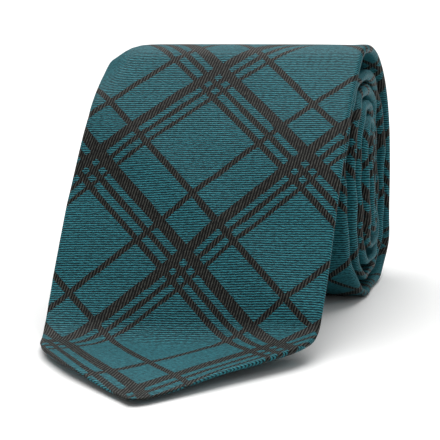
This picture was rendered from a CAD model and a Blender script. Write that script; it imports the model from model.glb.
"""A plaid silk necktie, folded in half at the neck and rolled up from the fold.

The tie is one long strip of layers. Its course is the side view of the face of
that strip: the flat toe, the sloping free end, the crest, the coil, the fold at
the neck and the tail that runs back out inside the coil. Every piece is a
section across the strip that is carried along this course. Lengths in this
script are in millimetres, and become metres when a mesh is made.
"""
import math

import bpy
import numpy as np
from mathutils import Matrix, Vector


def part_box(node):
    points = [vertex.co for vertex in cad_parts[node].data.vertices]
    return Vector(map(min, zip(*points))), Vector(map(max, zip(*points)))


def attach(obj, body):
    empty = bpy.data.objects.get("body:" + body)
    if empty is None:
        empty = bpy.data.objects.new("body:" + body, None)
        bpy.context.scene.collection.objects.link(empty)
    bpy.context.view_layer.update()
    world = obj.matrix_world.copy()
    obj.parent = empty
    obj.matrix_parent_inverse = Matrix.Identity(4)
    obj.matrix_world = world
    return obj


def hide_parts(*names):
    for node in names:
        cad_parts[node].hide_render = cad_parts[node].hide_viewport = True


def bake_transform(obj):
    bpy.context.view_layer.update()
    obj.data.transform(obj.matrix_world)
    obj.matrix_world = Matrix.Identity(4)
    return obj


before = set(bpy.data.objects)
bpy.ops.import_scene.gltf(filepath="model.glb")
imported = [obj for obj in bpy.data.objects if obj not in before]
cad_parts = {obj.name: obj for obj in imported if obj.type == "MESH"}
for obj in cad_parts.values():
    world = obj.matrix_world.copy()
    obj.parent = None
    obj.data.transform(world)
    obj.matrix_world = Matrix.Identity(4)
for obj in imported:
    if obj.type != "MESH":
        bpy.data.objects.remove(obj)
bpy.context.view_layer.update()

MM = 0.001
TAU = 2 * math.pi

# ---- Dimensions of the tie, the same as the CAD model's ----
TIE_T = 1.75            # thickness of the made-up tie
CLOTH_T = 0.35          # thickness of the shell cloth
POINT_W = 4.0           # width of the blunt end of each point
NECK_W = 34.0           # width of the tie at the neck
TAIL_W = 41.0           # width of the tail
HALF_DEPTH = 28.5       # half the depth of the outer turn
HALF_HEIGHT = 35.0      # half the height of the outer turn
SQUARE = 2.3            # squareness of the outer turn
LEAN = 0.08             # backward lean of the roll's top
TURN_PITCH = 4.0        # growth of the height with each turn
SIDE_PITCH = 4.1        # growth of the depth with each turn
TURN_SHIFT = 0.2        # each turn sits this far behind the one outside it
TOP_GAP = 2.6           # the inner turns have sunk this far below the outer turn's top
TURNS = 5.75            # turns from the roll's top in to the fold at the neck
TAIL_END_TURN = 0.35    # the turn at which the tail's point ends
SETTLE = 1.2            # how far the roll flattens where it rests
STEEP = math.radians(52)  # slope of the free end's straight stretch
CREST = math.radians(34)  # slope at which the free end leaves the crest
CREST_R = 14.0          # radius of the crest
SLACK_R = 160.0         # radius of the slack stretch below it
BEND_R = 12.0           # radius of the bend above the toe
TOE_LEN = 38.5          # length of the flat toe
FOLD_GAP = 0.2          # gap between the tie and its tail, which lie face to back
HEM_W = 10.0            # width of the shell turned over at each point
FRONT_MEET = 82.0       # from the front point to where the turned edges meet
TAIL_MEET = 62.0        # the same from the tail's point
TAIL_INSET = 7.5        # how far the tail is tucked in from the roll's right end
SEAM_LEN = 0.4          # length of each neck seam along the tie
FRONT_PIECE = 170.0     # from the fold at the neck back to the front neck seam
TAIL_PIECE = 150.0      # from the fold at the neck on to the tail neck seam

low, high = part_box("front_blade_tip")
BLADE_W = (high.x - low.x) / MM
APEX_Y = low.y / MM


# ---- Course of the tie ----
def power(value, exponent):
    """A power that keeps the sign of its value."""
    return np.sign(value) * np.abs(value) ** exponent


def roll_station(turn):
    """Points of the coil's outer face and the way it faces: y, z, normal y, normal z."""
    turn = np.asarray(turn, float)
    a = HALF_DEPTH - SIDE_PITCH * turn
    n = SQUARE + (2 - SQUARE) * turn / TURNS
    angle = TAU * (0.25 - turn)
    b = HALF_HEIGHT - TURN_PITCH * turn - np.where((turn > 0.5) & (np.sin(angle) > 0), TOP_GAP, 0)
    up = b * power(np.sin(angle), 2 / n)
    y = a * power(np.cos(angle), 2 / n) + LEAN * up + TURN_SHIFT * turn
    side = power(np.cos(angle), 2 - 2 / n) / a
    lift = power(np.sin(angle), 2 - 2 / n) / b - LEAN * side
    size = np.hypot(side, lift)
    z = np.maximum(ROLL_Z + up, TURN_PITCH * np.floor(turn))
    return np.stack([y, z, side / size, lift / size], -1)


def arc(y, z, radius, slopes):
    """A stretch of the free end that bends about a centre behind its face."""
    slopes = np.asarray(slopes)
    return np.stack([y - radius * np.sin(slopes), z + radius * np.cos(slopes),
                     -np.sin(slopes), np.cos(slopes)], -1)


ROLL_Z = HALF_HEIGHT - TURN_PITCH / 2 - SETTLE
ROLL_TOP = ROLL_Z + HALF_HEIGHT
FOLD_MID = TIE_T + FOLD_GAP / 2

crest_y = LEAN * HALF_HEIGHT
slack_y = crest_y - CREST_R * math.sin(CREST)
slack_z = ROLL_TOP - CREST_R * (1 - math.cos(CREST))
straight_y = slack_y - SLACK_R * (math.sin(STEEP) - math.sin(CREST))
straight_z = slack_z - SLACK_R * (math.cos(CREST) - math.cos(STEEP))
bend_drop = BEND_R * (1 - math.cos(STEEP))
straight_len = (straight_z - TIE_T - bend_drop) / math.sin(STEEP)
bend_y = straight_y - straight_len * math.cos(STEEP)
toe_y = bend_y - BEND_R * math.sin(STEEP)
apex_y = toe_y - TOE_LEN
TIP_LEN = (BLADE_W - POINT_W) / 2
TAIL_TIP_LEN = (TAIL_W - POINT_W) / 2
SHIFT_Y = APEX_Y - apex_y


STATIONS_A_TURN = 240


def make_course():
    """The whole course, the turn that each point is on, and where each stretch ends."""
    toe = np.linspace([apex_y, TIE_T, 0, 1], [toe_y, TIE_T, 0, 1], 60)
    slopes = np.linspace(0, STEEP, 40)[1:]
    bend = np.stack([toe_y + BEND_R * np.sin(slopes), TIE_T + BEND_R * (1 - np.cos(slopes)),
                     -np.sin(slopes), np.cos(slopes)], -1)
    slack = arc(slack_y + SLACK_R * math.sin(CREST), slack_z - SLACK_R * math.cos(CREST),
                SLACK_R, np.linspace(STEEP, CREST, 60))
    straight = np.linspace(bend[-1], slack[0], 40)[1:-1]
    crest = arc(crest_y, ROLL_TOP - CREST_R, CREST_R, np.linspace(CREST, 0, 24)[1:-1])
    roll = roll_station(np.linspace(0, TURNS, int(TURNS * STATIONS_A_TURN) + 1))
    base = roll[-1]
    swing = np.linspace(0, math.pi, 24)[1:-1]
    normal_y = base[2] * np.cos(swing) + base[3] * np.sin(swing)
    normal_z = base[3] * np.cos(swing) - base[2] * np.sin(swing)
    fold = np.stack([base[0] + FOLD_MID * (normal_y - base[2]),
                     base[1] + FOLD_MID * (normal_z - base[3]), normal_y, normal_z], -1)
    tail_stations = int((TURNS - TAIL_END_TURN) * STATIONS_A_TURN) + 1
    outer = roll_station(np.linspace(TURNS, TAIL_END_TURN, tail_stations))
    tail = np.concatenate([outer[:, :2] - outer[:, 2:] * 2 * FOLD_MID, -outer[:, 2:]], -1)
    turn = np.concatenate([np.zeros(len(toe) + len(bend) + len(straight) + len(slack) + len(crest)),
                           np.linspace(0, TURNS, len(roll)), np.full(len(fold), TURNS),
                           np.linspace(TURNS, TAIL_END_TURN, len(outer))])
    marks = np.cumsum([len(toe), len(bend), len(straight) + len(slack), len(crest), len(roll)])
    return np.concatenate([toe, bend, straight, slack, crest, roll, fold, tail]), turn, marks


course, course_turn, marks = make_course()
middle = course[:, :2] - course[:, 2:] * TIE_T / 2
reach = np.concatenate([[0], np.cumsum(np.hypot(*np.diff(middle, axis=0).T))])
face_reach = np.concatenate([[0], np.cumsum(np.hypot(*np.diff(course[:, :2], axis=0).T))])
TIE_LEN = reach[-1]
BEND_S = reach[marks[0]] / 2 + reach[marks[1] - 1] / 2
CREST_S = reach[marks[2] - 1]
ROLL_S = reach[marks[3]]
FOLD_S = reach[marks[4] - 1]
FRONT_JOIN = FOLD_S - FRONT_PIECE
TAIL_JOIN = FOLD_S + TAIL_PIECE


def station(s):
    """Face point and normal at distances s from the front point."""
    row = np.stack([np.interp(s, reach, course[:, i]) for i in range(4)], -1)
    row[..., 2:] /= np.linalg.norm(row[..., 2:], axis=-1, keepdims=True)
    return row


def turn_at(s):
    """The turn of the coil that distance s lies on, 0 before the coil."""
    return np.interp(s, reach, course_turn)


def face_length(s):
    """Length of the shell's face from the front point to distance s."""
    return np.interp(s, reach, face_reach)


def fade(value, start, end):
    """0 at start and 1 at end, smooth between them."""
    t = np.clip((np.asarray(value, float) - start) / (end - start), 0, 1)
    return t * t * (3 - 2 * t)


# ---- Widths ----
# The tie's full width at distances from the front point
WIDTHS = ((0, BLADE_W), (ROLL_S, BLADE_W - 0.5), (ROLL_S + 260, BLADE_W - 12),
          (FRONT_JOIN, NECK_W + 13), (FOLD_S - 60, NECK_W + 2), (FOLD_S, NECK_W),
          (TAIL_JOIN, NECK_W), (TIE_LEN - TAIL_TIP_LEN, TAIL_W), (TIE_LEN, TAIL_W))
CORNER_SOFT = 5.0       # rounding of the two corners of a point
APEX_SIDE = 3.2         # the front apex lies this far right of the blade's middle
SLIT = 0.12             # half the gap between the turned edges, narrower than the CAD model's


def full_width(s):
    return np.interp(s, *zip(*WIDTHS))


def half_width(s):
    """Half the tie's width, with the corners of its two points rounded off."""
    s = np.asarray(s, float)
    flat = full_width(s) / 2
    slope = np.minimum(POINT_W / 2 + s, POINT_W / 2 + TIE_LEN - s)
    gap = flat - slope
    return (flat + slope - np.sqrt(gap * gap + CORNER_SOFT * CORNER_SOFT)) / 2


def center_at(s):
    """Where the tie's middle lies across. The coil's turns are flush at the right."""
    s = np.asarray(s, float)
    inset = TAIL_INSET * np.clip((s - FOLD_S) / (TAIL_JOIN - FOLD_S), 0, 1)
    rolled = BLADE_W / 2 - inset - full_width(s) / 2
    return np.where(s < TIP_LEN, APEX_SIDE * (1 - fade(s, 0, TIP_LEN)), rolled)


def window_at(s):
    """Half the gap between the turned edges, which open out towards each point."""
    front = (FRONT_MEET - s) * (BLADE_W / 2 - HEM_W) / (FRONT_MEET - TIP_LEN)
    tail = (TAIL_MEET - TIE_LEN + s) * (TAIL_W / 2 - HEM_W) / (TAIL_MEET - TAIL_TIP_LEN)
    return np.maximum(SLIT, np.minimum(np.maximum(front, tail), half_width(s) - HEM_W))


# ---- How the cloth departs from its plain course ----
DROOP = 0.45            # how far the free end's two edges curl back
DROOP_REACH = 6.0       # how far in from the edge that curl is felt
TOE_LIFT = 0.15         # how far the front point stands off the floor
TOE_TILT = 1.0          # how much further its right side does
TOE_EDGE = 1.2          # how much further its two edges do, short of the apex
TOE_EDGE_REACH = 8.0    # how far in from the edge that is felt
SOFT_FOLD = 0.95        # height of the soft fold that runs aslant across the free end
FOLD_LINE = 82.5        # where that fold crosses the middle
FOLD_SPREAD = 9.0       # half its breadth
TWIST = 0.077           # slope across the free end, TWIST_MID from the point
TWIST_LOSS = 0.00039    # how much of that slope is lost with each millimetre further on
TWIST_MID = 90.0
PRESS = 0.55            # how much thinner the front point is pressed, as a share
TOP_RISE = 0.45         # how far the roll's top stands up
TOP_DROOP = 4.0         # how far the roll's top left edge sinks, with no turn under it
TOP_DROOP_REACH = 5.0   # how far in from the edge that is felt
RIPPLE = 0.16           # height of the slow ripples on the free end
ROLL_RIPPLE = 0.25      # the share of them that is left in the roll
# How far inside the plain course the free end's two edges lie, by distance from the point
LEFT_IN = ((0, -1.2), (20, -0.9), (35, 1.6), (42, 0.9), (48, -0.3), (55, -1.0), (62, -1.3),
           (84, -1.1), (96, -0.4), (110, 0.4), (116, 0.3), (126, -0.3), (136, -0.4), (165, 0.0))
RIGHT_IN = ((0, 0.6), (20, 1.0), (31, 0.4), (42, 0.0), (160, 0.0))


def lift(s, x):
    """How far a point stands off its course.

    Each fade says where, along the tie or across it, one effect comes in and goes.
    """
    s, x = np.broadcast_arrays(np.asarray(s, float), np.asarray(x, float))
    right = fade(s, 8, 50) * (1 - fade(s, 100, 142))
    left = fade(s, 35, 63) * (1 - fade(s, 84, 116))
    raised = x * (TWIST - TWIST_LOSS * (s - TWIST_MID)) * np.where(x > 0, right, left)
    aslant = np.exp(-((s + x - FOLD_LINE) / FOLD_SPREAD) ** 2)
    raised = raised + SOFT_FOLD * aslant * fade(s, 46, 58) * (1 - fade(s, 92, 112))
    edge = np.maximum(half_width(s) - np.abs(x - center_at(s)), 0)
    curl = -DROOP * np.exp(-edge / DROOP_REACH) * fade(s, 40, 60)
    toe = (TOE_LIFT + TOE_TILT * fade(x, 0, 28)) * (1 - fade(s, 0, 46))
    toe_edge = TOE_EDGE * np.exp(-edge / TOE_EDGE_REACH) * fade(s, 4, 20) * (1 - fade(s, 36, 54))
    overhang = fade(s, 112, 134) * (1 - fade(s, ROLL_S + 5, ROLL_S + 45))
    corner = np.exp(-((x + BLADE_W / 2) / TOP_DROOP_REACH) ** 2)
    top = (TOP_RISE - TOP_DROOP * corner) * overhang
    ripple = RIPPLE * np.sin(s / 9.5 + x / 13) * np.sin(s / 23 - x / 31 + 1.3)
    on_blade = fade(s, 45, 80) * (1 - fade(s, ROLL_S - 12, ROLL_S + 4))
    in_roll = ROLL_RIPPLE * fade(s, ROLL_S, ROLL_S + 60)
    return raised + curl + toe + toe_edge + top + ripple * (on_blade + in_roll)


# How far the roll's right edge stands out at each quarter turn: top, back, foot, front
EDGE_OUT = (-0.8, 0.2, 0.6, -1.7, -1.2, -0.6, -0.2, 0.0, -0.9, -2.0, 0.5, 0.6, -0.5, -1.7,
            1.1, 1.9, 0.1, -1.2, 1.4, 2.3, 0.6, -0.5, 1.6, 2.4)
LOW_BACK_OUT = 0.65     # how much further it does low on the back of the outer turn
LOW_BACK_QUARTER = 1.46  # where that is, in quarter turns
LOW_BACK_SPREAD = 0.14
# The waves along that edge: each one's height, length and start
EDGE_WAVES = ((0.22, 4.3, 0.7), (0.16, 2.1, 0.0))


def slide(s, x):
    """How far a point moves along the roll.

    The turns' right edges aren't quite flush, and the free end's side edges aren't straight.
    """
    s, x = np.broadcast_arrays(np.asarray(s, float), np.asarray(x, float))
    quarter = turn_at(s) * 4
    before = np.minimum(np.floor(quarter), len(EDGE_OUT) - 2).astype(int)
    share = fade(quarter - before, 0, 1)
    edge_out = np.array(EDGE_OUT)
    outward = edge_out[before] + (edge_out[before + 1] - edge_out[before]) * share
    low_back = np.exp(-((quarter - LOW_BACK_QUARTER) / LOW_BACK_SPREAD) ** 2)
    outward = outward + LOW_BACK_OUT * low_back
    outward = outward * fade(s, 85, 120) * (1 - fade(s, FOLD_S - 30, FOLD_S))
    wander = sum(height * np.sin(s / length + start) for height, length, start in EDGE_WAVES)
    wander = wander * fade(s, ROLL_S + 70, ROLL_S + 110)
    near = fade(x, BLADE_W / 2 - 26, BLADE_W / 2 - 6)
    left = np.interp(s, *zip(*LEFT_IN)) * fade(-x / half_width(s), 0.2, 1)
    right = np.interp(s, *zip(*RIGHT_IN)) * fade(x / half_width(s), 0.2, 1)
    return (outward + wander) * near + left - right


def place(s, x, depth):
    """World points, in millimetres, at distance s along the tie, x across and depth down."""
    s, x, depth = np.broadcast_arrays(*(np.asarray(v, float) for v in (s, x, depth)))
    row = station(s)
    down = depth * (1 - PRESS * (1 - fade(s, 8, 44))) - lift(s, x)
    z = np.maximum(row[..., 1] - row[..., 3] * down, 0)
    return np.stack([x + slide(s, x), row[..., 0] - row[..., 2] * down + SHIFT_Y, z], -1)


# How much thicker than the tie its rolled edge is, as a share of its thickness
PUFF_POINT = 0.05       # at the front point
PUFF_FREE = 0.3         # how much more than there it is further up the free end
PUFF_ROLL = 0.3         # in the roll
PUFF_FOOT = -0.3        # how much more than that it is at the roll's foot
PUFF_TOP = 0.1          # the same at its top
PUFF_KNOT = 0.5         # how much more again in the knots along its top
KNOT_LEN = 4.1
PUFF_OUTER = 0.4        # the share that is left on the outer turn
PUFF_NECK = 0.15        # the share that is left at the neck
PUFF_LEFT = 0.7         # the share that the left edge has


def edge_puff(s, side):
    """How much thicker than the tie its rolled edge is at distance s, on the side 1 or -1."""
    s = np.asarray(s, float)
    row = station(s)
    turn = turn_at(s)
    free = PUFF_POINT + PUFF_FREE * fade(s, 50, 110)
    top = fade(row[..., 3], 0.3, 0.95)
    foot = fade(-row[..., 3], 0.3, 0.95)
    knots = 0.5 + 0.5 * np.sin(s / KNOT_LEN + 2.0 * turn)
    rolled = PUFF_ROLL + PUFF_FOOT * foot + (PUFF_TOP + PUFF_KNOT * knots) * top
    outer = 1 - fade(turn, 0.3, 0.7)
    rolled = rolled * (1 - (1 - PUFF_OUTER) * outer)
    inner = 1 - (1 - PUFF_NECK) * fade(s, FRONT_JOIN - 60, FOLD_S - 60)
    share = (free + (rolled - free) * fade(s, ROLL_S, ROLL_S + 40)) * inner
    return share if side > 0 else share * PUFF_LEFT


# ---- Meshes ----
def new_object(name, data):
    made = bpy.data.objects.new(name, data)
    bpy.context.scene.collection.objects.link(made)
    return made


def add_mesh(name, points, faces, cloth, sharp_points=()):
    """A mesh object from points in millimetres. cloth holds each point's place on the cloth.

    An edge between two of sharp_points is a sharp one.
    """
    mesh = bpy.data.meshes.new(name)
    mesh.from_pydata((points * MM).tolist(), [], faces)
    mesh.validate(clean_customdata=False)
    mesh.polygons.foreach_set("use_smooth", [True] * len(mesh.polygons))
    data = mesh.attributes.new("cloth", "FLOAT_VECTOR", "POINT")
    data.data.foreach_set("vector", np.ascontiguousarray(cloth, np.float32).ravel())
    if sharp_points:
        rim = set(sharp_points)
        sharp = mesh.attributes.new("sharp_edge", "BOOLEAN", "EDGE")
        ends = np.zeros(len(mesh.edges) * 2, int)
        mesh.edges.foreach_get("vertices", ends)
        flags = [a in rim and b in rim for a, b in ends.reshape(-1, 2)]
        sharp.data.foreach_set("value", flags)
    mesh.update()
    return new_object(name, mesh)


def ribbon(name, rings, cloth):
    """A closed solid from sections that run out along one side and back along the other."""
    count, sides = rings.shape[:2]
    j = np.arange(sides)
    k = (j + 1) % sides
    base = np.arange(count - 1)[:, None] * sides
    skin = np.stack([base + j, base + k, base + sides + k, base + sides + j], -1).reshape(-1, 4)
    half = np.arange(sides // 2 - 1)
    cap = np.stack([sides - 1 - half, sides - 2 - half, half + 1, half], -1)
    far = (count - 1) * sides + cap[:, ::-1]
    faces = np.concatenate([skin, cap, far]).tolist()
    rims = list(range(sides)) + list(range((count - 1) * sides, count * sides))
    return add_mesh(name, rings.reshape(-1, 3), faces, cloth.reshape(-1, 3), rims)


def rows(s0, s1, step, fine=()):
    """Distances from s0 to s1, no further apart than step, with the ones in fine included."""
    stops = [s0] + sorted(v for v in fine if s0 < v < s1) + [s1]
    out = [np.linspace(a, b, max(2, int(math.ceil((b - a) / step)) + 1))[:-1]
           for a, b in zip(stops[:-1], stops[1:])]
    return np.concatenate(out + [[s1]])


FACE_POINTS = 31        # points across the shell's face
EDGE_POINTS = 8         # points round each of its edges
WING_POINTS = 7         # points across each turned-over side
EDGE_REACH = 1.15       # how far in from its edge the tie's section is round
END_ROUND = 1.6         # how far in from each end it is round
END_WIDTH = 0.15        # the share of its width that an end has
PUFF_IN = 1.4           # how far in from its edge the rolled edge is thickest
PUFF_SPREAD = 2.6
PUFF_END = 8.0          # how far in from each end the rolled edge reaches its thickness
POINT_DRAWN = 5.5       # how far the plaid is drawn out at the front point
POINT_DRAWN_END = 30.0  # how far from the point that ends
ROLL_DRAWN = 29.0       # how far it is drawn together under the roll, to be right on the front


def shell_section(s):
    """The shell cloth at one place: x, depth and place on the cloth, outside then inside."""
    end = min(s, TIE_LEN - s)
    blunt = math.sqrt(1 - max(1 - end / END_ROUND, 0) ** 2)
    h = float(half_width(s)) * (END_WIDTH + (1 - END_WIDTH) * blunt)
    g = min(float(window_at(s)), h * 0.6)
    thick = TIE_T * blunt
    reach_in = min(EDGE_REACH, h * 0.5)
    across = (h - reach_in) * np.sin(np.linspace(-math.pi / 2, math.pi / 2, FACE_POINTS))
    turn = np.linspace(math.pi / 2, -math.pi / 2, EDGE_POINTS + 2)[1:-1]
    bow_x = h - reach_in + reach_in * np.cos(turn)
    bow_d = thick / 2 - thick / 2 * np.sin(turn)
    wing_x = np.linspace(h - reach_in, g, WING_POINTS)
    wing_d = np.full(WING_POINTS, thick)
    x = np.concatenate([-wing_x[::-1], -bow_x[::-1], across, bow_x, wing_x])
    d = np.concatenate([wing_d, bow_d[::-1], np.zeros(FACE_POINTS), bow_d, wing_d])
    inward = h - np.abs(x)
    bulge = np.exp(-((inward - PUFF_IN) / PUFF_SPREAD) ** 2)
    puff = np.where(x > 0, edge_puff(s, 1), edge_puff(s, -1)) * min(1, end / PUFF_END)
    d = thick / 2 + (d - thick / 2) * (1 + puff * bulge)
    step = np.hypot(np.diff(x), np.diff(d))
    v = np.concatenate([[0], np.cumsum(step)])
    v = v - v[len(v) // 2]
    tx, td = np.gradient(x), np.gradient(d)
    size = np.hypot(tx, td)
    cloth_t = min(CLOTH_T, thick * 0.3)
    in_x, in_d = x - cloth_t * td / size, d + cloth_t * tx / size
    c = float(center_at(s))
    xs = np.concatenate([x, in_x[::-1]]) + c
    ds = np.concatenate([d, in_d[::-1]])
    vs = np.concatenate([v, v[::-1]])
    inside = np.concatenate([np.zeros(len(x)), np.ones(len(x))])
    return xs, ds, vs, inside


def shell(name, s0, s1, step, fine=()):
    """A stretch of the shell: the face, its two edges and the sides turned over to the back."""
    stops = rows(s0, s1, step, fine)
    made = [shell_section(s) for s in stops]
    xs, ds, vs, inside = (np.array([m[i] for m in made]) for i in range(4))
    rings = place(stops[:, None], xs, ds)
    along = face_length(stops) + POINT_DRAWN * (1 - np.clip(stops / POINT_DRAWN_END, 0, 1)) ** 1.5
    along = along + ROLL_DRAWN * fade(stops, ROLL_S + 62, ROLL_S + 128)
    along = np.broadcast_to(along[:, None], vs.shape)
    return ribbon(name, rings, np.stack([vs, along, inside], -1))


BAND_POINTS = 13        # points across an inner layer
BAND_NIP = 0.18         # how much thinner it is at each face of its edges, as a share
BAND_NIP_FALL = 40.0    # how fast that is lost further in
BAND_STEP = 2.5         # how far apart its sections are


def strip(name, stops, xs, depths):
    """A ribbon whose weave runs straight along the tie."""
    along = np.broadcast_to(face_length(stops)[:, None], xs.shape)
    cloth = np.stack([xs, along, np.zeros(xs.shape)], -1)
    return ribbon(name, place(stops[:, None], xs, depths), cloth)


def layer(name, s0, s1, inset, top, bottom):
    """A layer between two depths. It follows the tie's width, held in from each edge."""
    stops = rows(s0, s1, BAND_STEP, (TIP_LEN, BEND_S - 6, BEND_S + 6, TIE_LEN - TAIL_TIP_LEN))
    c, h = center_at(stops), half_width(stops) - inset
    x0, x1 = c - h, c + h
    u = np.linspace(0, 1, BAND_POINTS)
    x = x0[:, None] + (x1 - x0)[:, None] * u
    nip = (bottom - top) * (BAND_NIP * np.exp(-np.minimum(u, 1 - u) * BAND_NIP_FALL))
    up = np.broadcast_to(top + nip, x.shape)
    under = np.broadcast_to(bottom - nip, x.shape)
    xs = np.concatenate([x, x[:, ::-1]], -1)
    return strip(name, stops, xs, np.concatenate([under, up[:, ::-1]], -1))


THREAD_END = 0.35       # the share of its radius that a thread's end has


def threads(name, paths, radius, sides=6):
    """Fine threads: each path is a list of (s, x, depth) with its ends drawn in to a point."""
    points, faces, cloth = [], [], []
    turn = np.linspace(0, TAU, sides, endpoint=False)
    for path in paths:
        p = np.asarray(path, float)
        core = place(p[:, 0], p[:, 1], p[:, 2])
        row = station(p[:, 0])
        out = np.stack([np.zeros(len(p)), row[:, 2], row[:, 3]], -1)
        along = np.gradient(core, axis=0)
        along /= np.linalg.norm(along, axis=1, keepdims=True)
        side = np.cross(along, out)
        side /= np.linalg.norm(side, axis=1, keepdims=True)
        up = np.cross(side, along)
        size = np.full(len(p), radius)
        size[[0, -1]] = radius * THREAD_END
        round_off = (np.cos(turn)[None, :, None] * side[:, None]
                     + np.sin(turn)[None, :, None] * up[:, None])
        ring = core[:, None] + size[:, None, None] * round_off
        first = sum(len(q) for q in points)
        points.append(ring.reshape(-1, 3))
        run = np.concatenate([[0], np.cumsum(np.linalg.norm(np.diff(core, axis=0), axis=1))])
        cloth.append(np.stack([np.tile(turn / TAU, len(p)), np.repeat(run, sides),
                               np.zeros(len(p) * sides)], -1))
        for i in range(len(p) - 1):
            for j in range(sides):
                k = (j + 1) % sides
                a = first + i * sides
                faces.append([a + j, a + k, a + sides + k, a + sides + j])
        faces.append(list(range(first + sides - 1, first - 1, -1)))
        last = first + (len(p) - 1) * sides
        faces.append(list(range(last, last + sides)))
    return add_mesh(name, np.concatenate(points), faces, np.concatenate(cloth))


# ---- Materials ----
class Shader:
    """A material whose nodes are made by short calls. Sockets and plain numbers both go in."""

    def __init__(self, name, **fixed):
        """fixed holds values for the surface's own sockets, by name."""
        self.material = bpy.data.materials.new(name)
        self.material.use_nodes = True
        self.tree = self.material.node_tree
        self.tree.nodes.clear()
        self.surface = self.tree.nodes.new("ShaderNodeBsdfPrincipled")
        output = self.tree.nodes.new("ShaderNodeOutputMaterial")
        self.tree.links.new(self.surface.outputs[0], output.inputs[0])
        for key, value in fixed.items():
            socket = key.replace("_", " ").title().replace("Ior", "IOR")
            self.surface.inputs[socket].default_value = value

    def put(self, socket, value):
        """Links a socket's value in, or sets a plain one."""
        if isinstance(value, bpy.types.NodeSocket):
            self.tree.links.new(value, socket)
        else:
            socket.default_value = value

    def math(self, operation, *values):
        node = self.tree.nodes.new("ShaderNodeMath")
        node.operation = operation
        for socket, value in zip(node.inputs, values):
            self.put(socket, value)
        return node.outputs[0]

    def add(self, a, b):
        return self.math("ADD", a, b)

    def mul(self, a, b):
        return self.math("MULTIPLY", a, b)

    def wave(self, value, pitch):
        """A smooth ridge from 0 to 1, once in each pitch."""
        return self.add(self.mul(self.math("SINE", self.mul(value, TAU / pitch)), 0.5), 0.5)

    def snap(self, value, size):
        """The value in steps of size."""
        return self.mul(self.math("FLOOR", self.mul(value, 1 / size)), size)

    def attribute(self, name):
        """The three parts of a mesh attribute."""
        node = self.tree.nodes.new("ShaderNodeAttribute")
        node.attribute_name = name
        parts = self.tree.nodes.new("ShaderNodeSeparateXYZ")
        self.tree.links.new(node.outputs["Vector"], parts.inputs[0])
        return parts.outputs

    def vector(self, x, y, z=0.0):
        node = self.tree.nodes.new("ShaderNodeCombineXYZ")
        for socket, value in zip(node.inputs, (x, y, z)):
            self.put(socket, value)
        return node.outputs[0]

    def noise(self, vector, scale, detail=2.0, rough=0.5):
        node = self.tree.nodes.new("ShaderNodeTexNoise")
        self.put(node.inputs["Vector"], vector)
        node.inputs["Scale"].default_value = scale
        node.inputs["Detail"].default_value = detail
        node.inputs["Roughness"].default_value = rough
        return node.outputs[0]

    def spread(self, value, low, high, to_low=0.0, to_high=1.0):
        """The value's range from low to high, stretched to another and held to it."""
        node = self.tree.nodes.new("ShaderNodeMapRange")
        self.put(node.inputs[0], value)
        for socket, number in zip(node.inputs[1:5], (low, high, to_low, to_high)):
            socket.default_value = number
        return node.outputs[0]

    def mix(self, share, a, b):
        node = self.tree.nodes.new("ShaderNodeMix")
        node.data_type = "RGBA"
        self.put(node.inputs[0], share)
        self.put(node.inputs[6], a)
        self.put(node.inputs[7], b)
        return node.outputs[2]

    def bump(self, height, distance, strength=1.0):
        node = self.tree.nodes.new("ShaderNodeBump")
        node.inputs["Strength"].default_value = strength
        node.inputs["Distance"].default_value = distance
        self.put(node.inputs["Height"], height)
        self.put(self.surface.inputs["Normal"], node.outputs[0])

    def color(self, value):
        self.put(self.surface.inputs["Base Color"], value)

    def rough(self, value):
        self.put(self.surface.inputs["Roughness"], value)


def srgb(text):
    """A colour from six hex digits, made linear."""
    parts = [int(text[i:i + 2], 16) / 255 for i in (0, 2, 4)]
    return [p / 12.92 if p <= 0.04045 else ((p + 0.055) / 1.055) ** 2.4 for p in parts] + [1.0]


# The plaid: two families of stripes, each repeated every REPEAT millimetres
REPEAT = 40.44
PLAID_V, PLAID_S = -1.88, 84.5                  # where the two families' zero lines cross
RISE_P = math.radians(43.95)                    # way across the falling stripes
RISE_Q = math.radians(134.83)                   # way across the rising stripes
STRETCH_Q = 1.027                               # how much wider the rising ones are spaced
# Each stripe's offset and width
STRIPES_P = ((0.0, 1.7), (21.9, 1.6), (25.25, 1.6), (29.3, 3.0))
STRIPES_Q = ((0.5, 1.6), (22.2, 1.2), (25.4, 1.5), (29.3, 3.0))
RIB_PITCH = 0.67                                # ribs across the tie, in the ground
TWILL_PITCH = 0.76                              # steep ribs, in the stripes
TWILL_SLOPE = -0.14
YARN = RIB_PITCH / 2                            # the stripes' edges step by this much
RIB_JOG, TWILL_JOG = 0.45, 0.3                  # how uneven the two kinds of rib are
SILK_BUMP = 0.00011                             # height of the ribs, in metres
TEAL_DARK = srgb("051a1f")
TEAL_BRIGHT = srgb("32818c")
CHARCOAL_DARK = srgb("060708")
CHARCOAL_BRIGHT = srgb("4a4b46")


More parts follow.
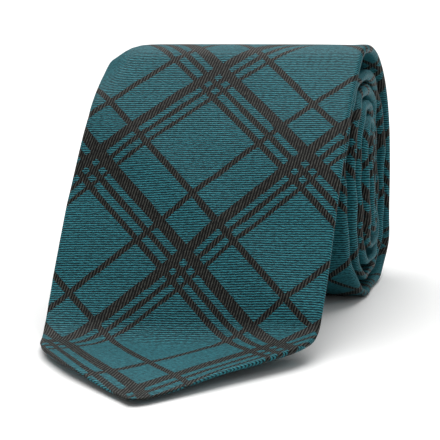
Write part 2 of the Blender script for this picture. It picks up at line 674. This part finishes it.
def plaid_cloth():
    """Teal silk with charcoal stripes. Its pattern and ribs go by each point's place on it."""
    sh = Shader("silk_plaid", specular_ior_level=0.1)
    v, s, _ = sh.attribute("cloth")
    base = np.array([[math.cos(RISE_P), STRETCH_Q * math.cos(RISE_Q)],
                     [math.sin(RISE_P), STRETCH_Q * math.sin(RISE_Q)]])
    back = np.linalg.inv(base)
    snap_v = sh.add(sh.snap(v, YARN), YARN / 2 - PLAID_V)
    snap_s = sh.add(sh.snap(s, YARN), YARN / 2 - PLAID_S)
    bands = []
    for row, stripes in ((back[0], STRIPES_P), (back[1], STRIPES_Q)):
        across = sh.add(sh.mul(snap_v, float(row[0])), sh.mul(snap_s, float(row[1])))
        for offset, width in stripes:
            turned = sh.add(sh.mul(across, 1 / REPEAT), 0.5 - offset / REPEAT)
            bands.append(sh.math("COMPARE", sh.math("FRACT", turned), 0.5, width / 2 / REPEAT))
    stripe = bands[0]
    for other in bands[1:]:
        stripe = sh.math("MAXIMUM", stripe, other)

    jog = sh.noise(sh.vector(v, s), 1.1, 2.0)
    fleck = sh.noise(sh.vector(sh.mul(v, 0.9), sh.mul(s, 1.5)), 1.0, 1.0)
    fleck_up = sh.noise(sh.vector(sh.mul(v, 1.5), sh.mul(s, 0.9)), 1.0, 1.0)
    grain = sh.noise(sh.vector(v, s), 1.9, 2.0, 0.7)
    slow = sh.noise(sh.vector(v, s), 0.045, 2.0)
    rib = sh.wave(sh.add(s, sh.mul(jog, RIB_JOG)), RIB_PITCH)
    rib_up = sh.wave(sh.add(sh.add(v, sh.mul(s, TWILL_SLOPE)), sh.mul(jog, TWILL_JOG)), TWILL_PITCH)
    teal_share = sh.mul(sh.spread(rib, 0.12, 0.85), sh.spread(fleck, 0.3, 0.6, 0.5, 1.0))
    dark_share = sh.mul(sh.spread(rib_up, 0.4, 0.95), sh.spread(fleck_up, 0.3, 0.6, 0.3, 1.0))
    teal = sh.mix(teal_share, TEAL_DARK, TEAL_BRIGHT)
    dark = sh.mix(dark_share, CHARCOAL_DARK, CHARCOAL_BRIGHT)
    color = sh.mix(stripe, teal, dark)
    shade = sh.mul(sh.spread(grain, 0.25, 0.75, 0.78, 1.22), sh.spread(slow, 0.3, 0.7, 0.92, 1.08))
    hsv = sh.tree.nodes.new("ShaderNodeHueSaturation")
    sh.put(hsv.inputs["Value"], shade)
    sh.put(hsv.inputs["Color"], color)
    sh.color(hsv.outputs[0])
    ridge = sh.add(sh.mul(rib, sh.math("SUBTRACT", 1.0, stripe)), sh.mul(rib_up, stripe))
    sh.rough(sh.spread(sh.add(ridge, grain), 0.4, 1.6, 0.62, 0.44))
    sh.bump(sh.add(sh.mul(ridge, 0.8), sh.mul(grain, 0.35)), SILK_BUMP, 0.8)
    return sh.material


def lining_cloth():
    """Plain dark satin, in a fine twill."""
    sh = Shader("tipping_lining", specular_ior_level=0.4, sheen_weight=0.1)
    v, s, _ = sh.attribute("cloth")
    twill = sh.wave(sh.add(v, s), 0.5)
    cross = sh.wave(s, 0.3)
    grain = sh.noise(sh.vector(v, s), 2.0, 3.0)
    share = sh.mul(sh.add(sh.mul(twill, 0.6), sh.mul(cross, 0.4)), sh.spread(grain, 0.3, 0.7, 0.7, 1.0))
    sh.color(sh.mix(share, srgb("0b0d0e"), srgb("2a3032")))
    sh.rough(sh.spread(grain, 0.3, 0.7, 0.38, 0.55))
    sh.bump(sh.add(twill, sh.mul(cross, 0.5)), 0.00004, 0.7)
    return sh.material


def wool_cloth():
    """Brushed wool in a plain weave."""
    sh = Shader("interlining_wool", specular_ior_level=0.15, sheen_weight=0.5, sheen_roughness=0.6)
    v, s, _ = sh.attribute("cloth")
    warp = sh.wave(v, 0.9)
    weft = sh.wave(s, 0.9)
    fuzz = sh.noise(sh.vector(v, s), 1.6, 6.0, 0.75)
    share = sh.mul(sh.add(sh.mul(warp, 0.5), sh.mul(weft, 0.5)), sh.spread(fuzz, 0.3, 0.7, 0.6, 1.0))
    sh.color(sh.mix(share, srgb("a89f8a"), srgb("e3ddcd")))
    sh.rough(sh.spread(fuzz, 0.3, 0.7, 0.8, 0.95))
    sh.bump(sh.add(share, fuzz), 0.00015, 0.8)
    return sh.material


def thread_cord():
    """Twisted sewing thread."""
    sh = Shader("sewing_thread", specular_ior_level=0.4, sheen_weight=0.2)
    around, along, _ = sh.attribute("cloth")
    ply = sh.wave(sh.add(along, sh.mul(around, 0.4)), 0.4)
    wear = sh.noise(sh.vector(around, along), 2.0, 3.0)
    share = sh.mul(ply, sh.spread(wear, 0.3, 0.7, 0.7, 1.0))
    sh.color(sh.mix(share, srgb("143138"), srgb("3d7b84")))
    sh.rough(sh.spread(wear, 0.3, 0.7, 0.45, 0.65))
    sh.bump(ply, 0.00005, 0.8)
    return sh.material


def label_cloth():
    """A blank woven label."""
    sh = Shader("label_cloth", specular_ior_level=0.4, sheen_weight=0.15)
    v, s, _ = sh.attribute("cloth")
    warp = sh.wave(v, 0.28)
    weft = sh.wave(sh.add(s, sh.mul(v, 0.2)), 0.4)
    grain = sh.noise(sh.vector(v, s), 1.2, 4.0)
    share = sh.add(sh.mul(weft, 0.6), sh.mul(grain, 0.5))
    sh.color(sh.mix(share, srgb("b7b2a4"), srgb("e9e5da")))
    sh.rough(sh.spread(grain, 0.3, 0.7, 0.35, 0.55))
    sh.bump(sh.add(warp, weft), 0.00004, 0.6)
    return sh.material


def floor_paint():
    """A plain pale floor."""
    sh = Shader("studio_floor", specular_ior_level=0.1)
    where = sh.tree.nodes.new("ShaderNodeTexCoord").outputs["Object"]
    mottle = sh.noise(where, 8.0, 3.0)
    sh.color(sh.mix(mottle, (0.90, 0.90, 0.895, 1), (0.94, 0.94, 0.935, 1)))
    sh.rough(sh.spread(mottle, 0.3, 0.7, 0.85, 0.95))
    return sh.material


silk = plaid_cloth()
lining = lining_cloth()
wool = wool_cloth()
thread = thread_cord()
label = label_cloth()


def dress(piece, material):
    """Gives a piece its material, and the record's slot for it."""
    piece.data.materials.clear()
    piece.data.materials.append(material)
    return piece


# ---- Camera and light, in metres ----
CAMERA_TURN, CAMERA_RISE, CAMERA_ROLL = (math.radians(angle) for angle in (16.75, 12.68, -2.37))
CAMERA_DISTANCE = 0.51
CAMERA_TARGET = Vector((0, SHIFT_Y * MM - 0.03, 0.032))
CAMERA_LENS, SENSOR = 157.3, 36
CAMERA_SHIFT = (0.0234, -0.0553)


def add_camera():
    """A long lens, a little above the tie and to the right of its free end."""
    turn, rise, roll = CAMERA_TURN, CAMERA_RISE, CAMERA_ROLL
    back = Vector((math.sin(turn) * math.cos(rise), -math.cos(turn) * math.cos(rise), math.sin(rise)))
    right = (-back).cross(Vector((0, 0, 1))).normalized()
    up = right.cross(-back)
    across = math.cos(roll) * right + math.sin(roll) * up
    above = -math.sin(roll) * right + math.cos(roll) * up
    stand = Matrix((across, above, back)).transposed().to_4x4()
    stand.translation = CAMERA_TARGET + back * CAMERA_DISTANCE
    data = bpy.data.cameras.new("camera")
    data.lens, data.sensor_width = CAMERA_LENS, SENSOR
    data.shift_x, data.shift_y = CAMERA_SHIFT
    data.clip_start = 0.05
    camera = new_object("camera", data)
    camera.matrix_world = stand
    bpy.context.scene.camera = camera


def add_area(name, where, aim, size, power_w):
    """A square lamp that faces one point."""
    data = bpy.data.lights.new(name, "AREA")
    data.size, data.energy = size, power_w
    lamp = new_object(name, data)
    lamp.location = where
    lamp.rotation_euler = (Vector(aim) - Vector(where)).to_track_quat("-Z", "Y").to_euler()


def add_sun(name, toward, spread_deg, strength):
    """A wide, even light from one direction."""
    data = bpy.data.lights.new(name, "SUN")
    data.angle, data.energy = math.radians(spread_deg), strength
    facing = Vector(toward).to_track_quat("Z", "Y")
    new_object(name, data).rotation_euler = facing.to_euler()


def add_studio():
    """A white room, a wide light from above and behind, a small one from the right, and a floor."""
    world = bpy.data.worlds.new("studio")
    world.use_nodes = True
    background = world.node_tree.nodes["Background"]
    background.inputs["Color"].default_value = (1, 1, 1, 1)
    background.inputs["Strength"].default_value = 0.3
    bpy.context.scene.world = world
    bpy.context.scene.view_settings.view_transform = "Standard"
    add_sun("key", toward=(-0.13, 0.40, 0.91), spread_deg=72, strength=3.6)
    add_area("right", where=(0.55, -0.10, 0.60), aim=(0, 0, 0.03), size=0.4, power_w=0.5)
    bpy.ops.mesh.primitive_plane_add(size=12, location=(0, 0, 0))
    floor = bpy.context.object
    floor.name = "studio_floor"
    floor.data.materials.append(floor_paint())


add_camera()
add_studio()

# ---- Shell ----
POINT_END = 108.0       # the point's piece ends here, on the straight of the free end
CREST_END = ROLL_S + 40  # the crest's piece ends here, behind the roll
POINT_STEP, CREST_STEP, ROLLED_STEP = 0.8, 0.9, 1.6  # how far apart each piece's sections are
END_START = 0.006       # the first section is this far in from the end


def course_point(s):
    """The tie's face at distance s, in metres."""
    y, z, *_ = station(s)
    return (0, (y + SHIFT_Y) * MM, z * MM)


# Where the cloth bends between two bodies
bend_start = course_point(reach[marks[1] - 1] + 1)
bend_end = course_point(reach[marks[0]] - 3)
crest_start = course_point(ROLL_S)
crest_end = course_point(CREST_S - 8)


def blend_bend(piece):
    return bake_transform(piece)


def blend_crest(piece):
    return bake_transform(piece)


# Where sections must stand: close at the ends, and at bends, corners and joins
fine_end = [0.05, 0.15, 0.3, 0.5, 0.8, 1.3, 2, 3]
fine_tip = fine_end + [TIP_LEN - 3, TIP_LEN + 3, BEND_S - 8, BEND_S + 8, FRONT_MEET]
fine_fold = [FOLD_S + d for d in (-2, 0, 2, 4, 6)]
fine_tail = [TIE_LEN - d for d in fine_end + [TAIL_TIP_LEN - 3, TAIL_TIP_LEN + 3]]

blade_point = dress(shell("blade_point", END_START, POINT_END, POINT_STEP, fine_tip), silk)
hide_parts("front_blade_tip", "front_blade_flap")
blend_bend(blade_point)

blade_crest = dress(shell("blade_crest", POINT_END, CREST_END, CREST_STEP), silk)
blend_crest(blade_crest)

blade_coil = dress(shell("blade_coil", CREST_END, FRONT_JOIN, ROLLED_STEP), silk)
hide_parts("front_blade_roll")
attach(blade_coil, "roll")

neck_coil = dress(shell("neck_coil", FRONT_JOIN + SEAM_LEN, TAIL_JOIN, ROLLED_STEP, fine_fold),
                  silk)
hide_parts("neck_shell")
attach(neck_coil, "roll")

tail_coil = dress(shell("tail_coil", TAIL_JOIN + SEAM_LEN, TIE_LEN - END_START, ROLLED_STEP, fine_tail),
                  silk)
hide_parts("tail_blade_shell")
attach(tail_coil, "roll")

# ---- Inside the shell ----
LAYER_GAP = 0.05        # clearance between layers
TIPPING_T = 0.2         # thickness of the lining
TIPPING_TOP = TIE_T - CLOTH_T - LAYER_GAP - TIPPING_T   # depths from the tie's face
INTERLINING_TOP = CLOTH_T + LAYER_GAP
INTERLINING_END = TIPPING_TOP - LAYER_GAP
INTERLINING_INSET = 0.9  # how far inside the tie's edges the interlining ends
INTERLINING_START = 3.0  # and how far inside its two points
TIPPING_INSET = 1.4     # the same for the lining
TIPPING_START = 5.0
TIPPING_PAST = 12.0     # how far the lining reaches past where the turned edges meet


def interlining(name, s0, s1, *nodes):
    """A stretch of the wool strip. The crest's stands for no CAD node of its own."""
    piece = layer(name, s0, s1, INTERLINING_INSET, INTERLINING_TOP, INTERLINING_END)
    dress(piece, wool)
    if nodes:
        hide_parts(*nodes)
    return piece


interlining_point = interlining("interlining_point", INTERLINING_START, POINT_END,
                                "interlining_tip", "interlining_flap")
blend_bend(interlining_point)
interlining_crest = interlining("interlining_crest", POINT_END, CREST_END)
blend_crest(interlining_crest)
interlining_coil = interlining("interlining_coil", CREST_END, TIE_LEN - INTERLINING_START,
                               "interlining_roll")
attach(interlining_coil, "roll")


def tipping(name, s0, s1, *nodes):
    """The lining of one point."""
    piece = layer(name, s0, s1, TIPPING_INSET, TIPPING_TOP, TIPPING_TOP + TIPPING_T)
    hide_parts(*nodes)
    return dress(piece, lining)


front_tipping = tipping("front_tipping", TIPPING_START, FRONT_MEET + TIPPING_PAST,
                        "front_tipping_tip", "front_tipping_flap")
blend_bend(front_tipping)
tail_tipping = tipping("tail_tipping_cloth", TIE_LEN - TAIL_MEET - TIPPING_PAST, TIE_LEN - TIPPING_START,
                       "tail_tipping")
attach(tail_tipping, "roll")

# ---- Stitching ----
STITCH_LEN = 1.7        # each stitch along the tipping's edges
STITCH_PITCH = 3.4
STITCH_R = 0.16
STITCH_MARGIN = 12.0    # they keep this far from the point and from where the edges meet
STITCH_ON = 0.7         # how far onto the turned edge a stitch starts
STITCH_SIDE = 0.9       # how far from that edge it lands on the tipping
THREAD_LIFT = 0.05      # how far a thread's middle keeps from the cloth


def fell_stitches(s0, s1):
    """Short slanted stitches that catch the turned edges down on the tipping."""
    paths = []
    for s in np.arange(s0, s1 - STITCH_LEN, STITCH_PITCH):
        for side in (-1, 1):
            run = np.linspace(0, 1, 6)
            at = s + STITCH_LEN * run
            edge = center_at(at) + side * window_at(at)
            x = edge + side * (STITCH_ON - (STITCH_ON + STITCH_SIDE) * run)
            bow = 0.12 * np.sin(run * math.pi)
            step_down = (TIE_T - TIPPING_TOP - TIPPING_T) * fade(run, 0.3, 0.8)
            depth = TIE_T + THREAD_LIFT + bow - step_down
            paths.append(np.stack([at, x, depth], -1))
    return paths


def sewn(name, paths, radius, *nodes, sides=6):
    """A thread piece in place of CAD nodes."""
    piece = threads(name, paths, radius, sides)
    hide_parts(*nodes)
    return dress(piece, thread)


BAR_HALF, BAR_ROWS, BAR_ROW_GAP, BAR_WRAPS = 3.0, 4, 0.35, 15
BAR_R = 0.15


def bar_tack(name, s, node, body):
    """A close row of long stitches wrapped over by short ones."""
    c = float(center_at(s))
    bow = np.sin(np.linspace(0, math.pi, 12))
    paths = [np.stack([np.full(12, s + BAR_ROW_GAP * i), c + np.linspace(-BAR_HALF, BAR_HALF, 12),
                       TIE_T + 0.06 + 0.1 * bow], -1) for i in range(BAR_ROWS)]
    run = np.linspace(0, 1, 7)
    depth = TIE_T + THREAD_LIFT + 0.33 * np.sin(run * math.pi) ** 0.6
    for x in np.linspace(0.3 - BAR_HALF, BAR_HALF - 0.3, BAR_WRAPS):
        paths.append(np.stack([s - 0.25 + 1.6 * run, c + x + 0.12 * run, depth], -1))
    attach(sewn(name, paths, BAR_R, node), body)


SLIP_R, SLIP_SIDES = 0.14, 5
SLIP_SWAY, SLIP_PITCH = 0.34, 7.2   # how far to each side the slip stitch goes, and how often


def slip_stitch():
    """One long thread that laces the two turned edges together, as its free and rolled parts."""
    s = np.arange(FRONT_MEET + 4, TIE_LEN - TAIL_MEET - 6, 0.9)
    x = center_at(s) + SLIP_SWAY * np.sin(s * TAU / SLIP_PITCH)
    depth = TIE_T - 0.16 + 0.06 * np.cos(s * TAU / (SLIP_PITCH / 2))
    path = np.stack([s, x, depth], -1)
    return path[s < CREST_END], path[s >= CREST_END - 1]


front_fell = fell_stitches(STITCH_MARGIN, FRONT_MEET - STITCH_MARGIN)
blend_bend(sewn("tipping_stitches", front_fell, STITCH_R,
                "tipping_stitches_tip", "tipping_stitches_flap"))
tail_fell = fell_stitches(TIE_LEN - TAIL_MEET + STITCH_MARGIN, TIE_LEN - STITCH_MARGIN)
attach(sewn("tail_stitches", tail_fell, STITCH_R, "tail_tipping_stitches"), "roll")
bar_tack("front_bar", FRONT_MEET + 1, "front_bar_tack", "flap")
bar_tack("tail_bar", TIE_LEN - TAIL_MEET - 2.8, "tail_bar_tack", "roll")
free_path, rolled_path = slip_stitch()
blend_crest(sewn("slip_stitch_free", [free_path], SLIP_R, "slip_stitch_flap", sides=SLIP_SIDES))
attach(sewn("slip_stitch_rolled", [rolled_path], SLIP_R, "slip_stitch_roll", sides=SLIP_SIDES), "roll")

SEAM_R, SEAM_PITCH, SEAM_STITCH = 0.2, 1.1, 0.85
SEAM_BOW = 0.1


def neck_seam(name, s, node):
    """The seam where two pieces of the shell are joined: close stitches over a shallow ridge."""
    h = float(half_width(s)) - 0.6
    c = float(center_at(s))
    run = np.linspace(0, 1, 5)
    along = np.full(5, s + SEAM_LEN / 2) + 0.1 * run
    bow = SEAM_BOW * np.sin(run * math.pi)
    paths = [np.stack([along, c + x + SEAM_STITCH * run, 0.02 - bow], -1)
             for x in np.arange(-h, h, SEAM_PITCH)]
    paths += [np.stack([along, c + side * (x + SEAM_STITCH * run), TIE_T - 0.02 + bow], -1)
              for side in (-1, 1) for x in np.arange(SLIT + 0.4, h - 1, SEAM_PITCH)]
    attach(sewn(name, paths, SEAM_R, node), "roll")


neck_seam("front_seam", FRONT_JOIN, "front_neck_seam")
neck_seam("tail_seam", TAIL_JOIN, "tail_neck_seam")

# ---- Keeper loop and blank labels ----
TRIM_GAP = 4.0          # gap between one trim piece and the next
KEEPER_LEN, KEEPER_W, KEEPER_T, KEEPER_RISE = 48.0, 12.0, 0.3, 1.2
LABEL_LEN, LABEL_H, LABEL_T = 44.0, 20.0, 0.2
CARE_W, CARE_H = 16.0, 12.0
LABEL_S = ROLL_S + TRIM_GAP
KEEPER_S = LABEL_S + LABEL_H + TRIM_GAP
CARE_S = KEEPER_S + KEEPER_W + TRIM_GAP
TRIM_TOP = TIE_T + LAYER_GAP
CORNER_R = 0.14         # radius of the thread at their corners


def trim_cloth(name, s, length, width, thick, rise, material, node):
    """A small cloth piece on the back of the blade. It rises off it by rise between its two feet."""
    stops = rows(s, s + length, 1.0)
    u = np.linspace(-1, 1, 33)
    x = u * width / 2 + float(center_at(s))
    up = rise * fade(1 - np.abs(u), 0.1, 0.34)
    near = np.broadcast_to(TRIM_TOP + up, (len(stops), len(u)))
    far = near + thick
    xs = np.broadcast_to(np.concatenate([x, x[::-1]]), (len(stops), 2 * len(u)))
    ds = np.concatenate([far, near[:, ::-1]], -1)
    piece = strip(name, stops, xs, ds)
    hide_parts(node)
    dress(piece, material)
    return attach(piece, "roll")


def corner_stitches(name, s, length, width, depth, node):
    """Small cross stitches at the four corners of a trim piece."""
    c = float(center_at(s))
    paths = []
    run = np.linspace(0, 1, 6)
    for x in (-1, 1):
        for end in (0.9, length - 0.9):
            for slant in (-1, 1):
                paths.append(np.stack([s + end + slant * (run - 0.5) * 1.1,
                                       c + x * (width / 2 - 1.4) + (run - 0.5) * 1.6,
                                       depth + 0.08 + 0.12 * np.sin(run * math.pi)], -1))
    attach(sewn(name, paths, CORNER_R, node), "roll")


maker_label = trim_cloth("maker_label_cloth", LABEL_S, LABEL_H, LABEL_LEN, LABEL_T, 0.0,
                         label, "maker_label")
keeper = trim_cloth("keeper", KEEPER_S, KEEPER_W, KEEPER_LEN, KEEPER_T, KEEPER_RISE,
                    silk, "keeper_loop")
care_label = trim_cloth("care_label_cloth", CARE_S, CARE_H, CARE_W, LABEL_T, 0.0,
                        label, "care_label")
corner_stitches("label_stitching", LABEL_S, LABEL_H, LABEL_LEN, TRIM_TOP + LABEL_T, "label_stitches")
corner_stitches("keeper_stitching", KEEPER_S, KEEPER_W, KEEPER_LEN, TRIM_TOP + KEEPER_T,
                "keeper_stitches")
corner_stitches("care_label_stitching", CARE_S, CARE_H, CARE_W, TRIM_TOP + LABEL_T,
                "care_label_stitches")


# ---- What each cloth was cut to ----
def cut(s0, s1, width_of):
    """A cloth's length, greatest width and area before it was folded, in metres."""
    stops = np.linspace(s0, s1, 400)
    width = width_of(stops)
    length = face_length(s1) - face_length(s0)
    area = float(np.mean(width)) * length
    return (float(width.max()) * MM, float(length) * MM), area * MM * MM


EDGE_EXTRA = 1.2        # what going round the two edges adds to the shell's cut width


def shell_width(s):
    return 2 * (2 * half_width(s) - window_at(s)) + EDGE_EXTRA


def declare(s0, s1, width_of):
    """Declares a sheet by its stretch of the tie and its cut width there."""
    flat, area = cut(s0, s1, width_of)


def layer_width(inset):
    return lambda s: 2 * (half_width(s) - inset)


for piece, s0, s1, below in ((blade_point, 0, POINT_END, "interlining_point"),
                             (blade_crest, POINT_END, CREST_END, "blade_coil"),
                             (blade_coil, CREST_END, FRONT_JOIN, "tail_coil"),
                             (neck_coil, FRONT_JOIN, TAIL_JOIN, "blade_coil"),
                             (tail_coil, TAIL_JOIN, TIE_LEN, "blade_coil")):
    declare(s0, s1, shell_width)
for piece, s0, s1, below in ((interlining_point, INTERLINING_START, POINT_END, "blade_point"),
                             (interlining_crest, POINT_END, CREST_END, "blade_crest"),
                             (interlining_coil, CREST_END, TIE_LEN - INTERLINING_START, "blade_coil")):
    declare(s0, s1, layer_width(INTERLINING_INSET))
declare(TIPPING_START, FRONT_MEET + TIPPING_PAST, layer_width(TIPPING_INSET))
declare(TIE_LEN - TAIL_MEET - TIPPING_PAST, TIE_LEN - TIPPING_START,
        layer_width(TIPPING_INSET))
for piece, s0, height, width in ((keeper, KEEPER_S, KEEPER_W, KEEPER_LEN),
                                 (maker_label, LABEL_S, LABEL_H, LABEL_LEN),
                                 (care_label, CARE_S, CARE_H, CARE_W)):
    declare(s0, s0 + height, lambda s: np.full(len(s), width))
